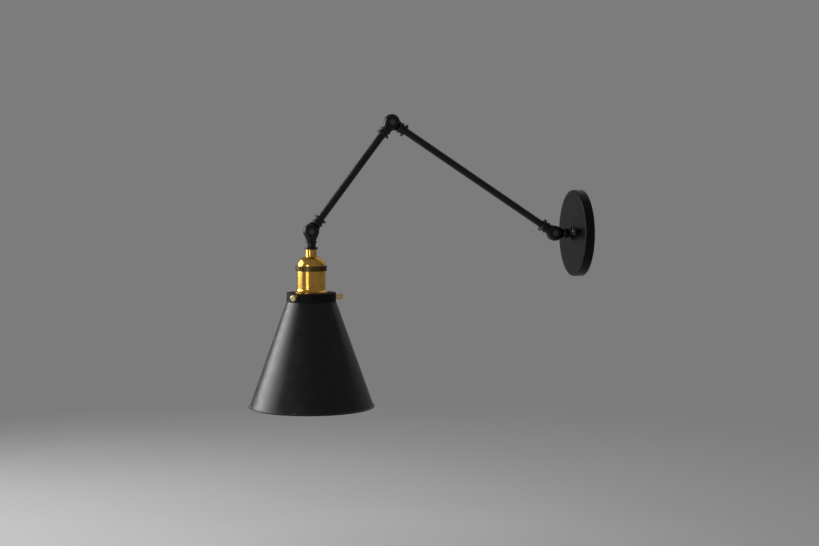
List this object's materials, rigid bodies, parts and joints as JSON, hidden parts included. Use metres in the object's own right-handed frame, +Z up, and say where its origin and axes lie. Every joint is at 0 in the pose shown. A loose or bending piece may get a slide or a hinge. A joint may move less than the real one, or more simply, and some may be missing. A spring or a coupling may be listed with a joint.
{
  "type": "articulated wall lamp",
  "caption": "Articulated wall lamp: round wall canopy, jointed tubular arms on friction knuckles, brass lampholder and cone shade.",
  "frame": {"origin": "middle of the canopy's back, on the wall, between the wall screws", "axes": "+Z up, -Y out of the wall along the lamp, +X to the right of someone who looks at the wall"},
  "size_m": [0.185, 0.505, 0.4285],
  "materials": {
    "black_enamel": "satin black enamel on steel and cast metal",
    "satin_black_shade": "smooth satin black enamel on spun metal",
    "blackened_steel": "blackened, lightly polished",
    "plated_steel": "zinc plated",
    "nylon": "natural nylon",
    "polished_brass": "polished, unlacquered",
    "bronzed_brass": "dark bronzed",
    "porcelain": "glazed white",
    "wire_insulation": "smooth insulation"
  },
  "bodies": {
    "canopy": {"wall_canopy": "black_enamel", "swivel_stop_pin": "plated_steel", "mounting_bracket": "plated_steel", "earth_screw": "polished_brass", "canopy_screws": "plated_steel", "ball_nuts": "black_enamel"},
    "stub": {"seat_ring": "black_enamel", "swivel_tab_washer": "plated_steel", "canopy_lock_nut": "plated_steel", "canopy_nipple": "plated_steel", "stub_lock_collar": "black_enamel", "wall_knuckle_stub_half": "black_enamel", "wall_pivot_screw": "blackened_steel", "wall_spring_washer": "plated_steel", "wall_friction_washer": "nylon", "wall_pivot_nut": "blackened_steel"},
    "arm_1": {"wall_knuckle_arm_half": "black_enamel", "arm_1_tube": "black_enamel", "arm_1_lock_collars": "black_enamel", "arm_1_wires": "wire_insulation", "elbow_knuckle_lower_half": "black_enamel", "elbow_pivot_screw": "blackened_steel", "elbow_spring_washer": "plated_steel", "elbow_friction_washer": "nylon", "elbow_pivot_nut": "blackened_steel"},
    "arm_2": {"elbow_knuckle_upper_half": "black_enamel", "arm_2_tube": "black_enamel", "arm_2_lock_collars": "black_enamel", "arm_2_wires": "wire_insulation", "tip_knuckle_arm_half": "black_enamel", "tip_pivot_screw": "blackened_steel", "tip_spring_washer": "plated_steel", "tip_friction_washer": "nylon", "tip_pivot_nut": "blackened_steel"},
    "lamp_head": {"tip_knuckle_lamp_half": "black_enamel", "lamp_lock_collar": "black_enamel", "lamp_nipple": "plated_steel", "lamp_wires": "wire_insulation", "holder_cap": "polished_brass", "holder_set_screw": "polished_brass", "ribbed_band": "bronzed_brass", "holder_shell": "polished_brass", "holder_insert": "porcelain", "screw_shell": "polished_brass", "centre_contact": "polished_brass", "terminal_blocks": "polished_brass", "terminal_screws": "plated_steel", "retaining_ring": "plated_steel", "shade_gallery": "satin_black_shade", "cone_shade": "satin_black_shade"},
    "thumb_screw_1": {"thumb_screw_1": "polished_brass"},
    "thumb_screw_2": {"thumb_screw_2": "polished_brass"},
    "thumb_screw_3": {"thumb_screw_3": "polished_brass"}
  },
  "joints": [
    {"name": "canopy_swivel", "type": "hinge", "parent": "canopy", "child": "stub", "pos_m": [0, 0, 0], "axis": [0, 1, 0], "range_deg": [-160, 160]},
    {"name": "wall_knuckle", "type": "hinge", "parent": "stub", "child": "arm_1", "pos_m": [0, -0.042, 0], "axis": [1, 0, 0], "range_deg": [-56.5, 123.5]},
    {"name": "elbow_knuckle", "type": "hinge", "parent": "arm_1", "child": "arm_2", "pos_m": [0, -0.29217, 0.16558], "axis": [1, 0, 0], "range_deg": [-176.5, 3.5]},
    {"name": "tip_knuckle", "type": "hinge", "parent": "arm_2", "child": "lamp_head", "pos_m": [0, -0.41253, 0.00585], "axis": [1, 0, 0], "range_deg": [-127, 53]},
    {"name": "thumb_screw_1_travel", "type": "slide", "parent": "lamp_head", "child": "thumb_screw_1", "axis": [0.2419, 0.9703, 0], "range_m": [0, 0.003]},
    {"name": "thumb_screw_2_travel", "type": "slide", "parent": "lamp_head", "child": "thumb_screw_2", "axis": [-0.9613, -0.2756, 0], "range_m": [0, 0.003]},
    {"name": "thumb_screw_3_travel", "type": "slide", "parent": "lamp_head", "child": "thumb_screw_3", "axis": [0.7193, -0.6947, 0], "range_m": [0, 0.003]}
  ]
}
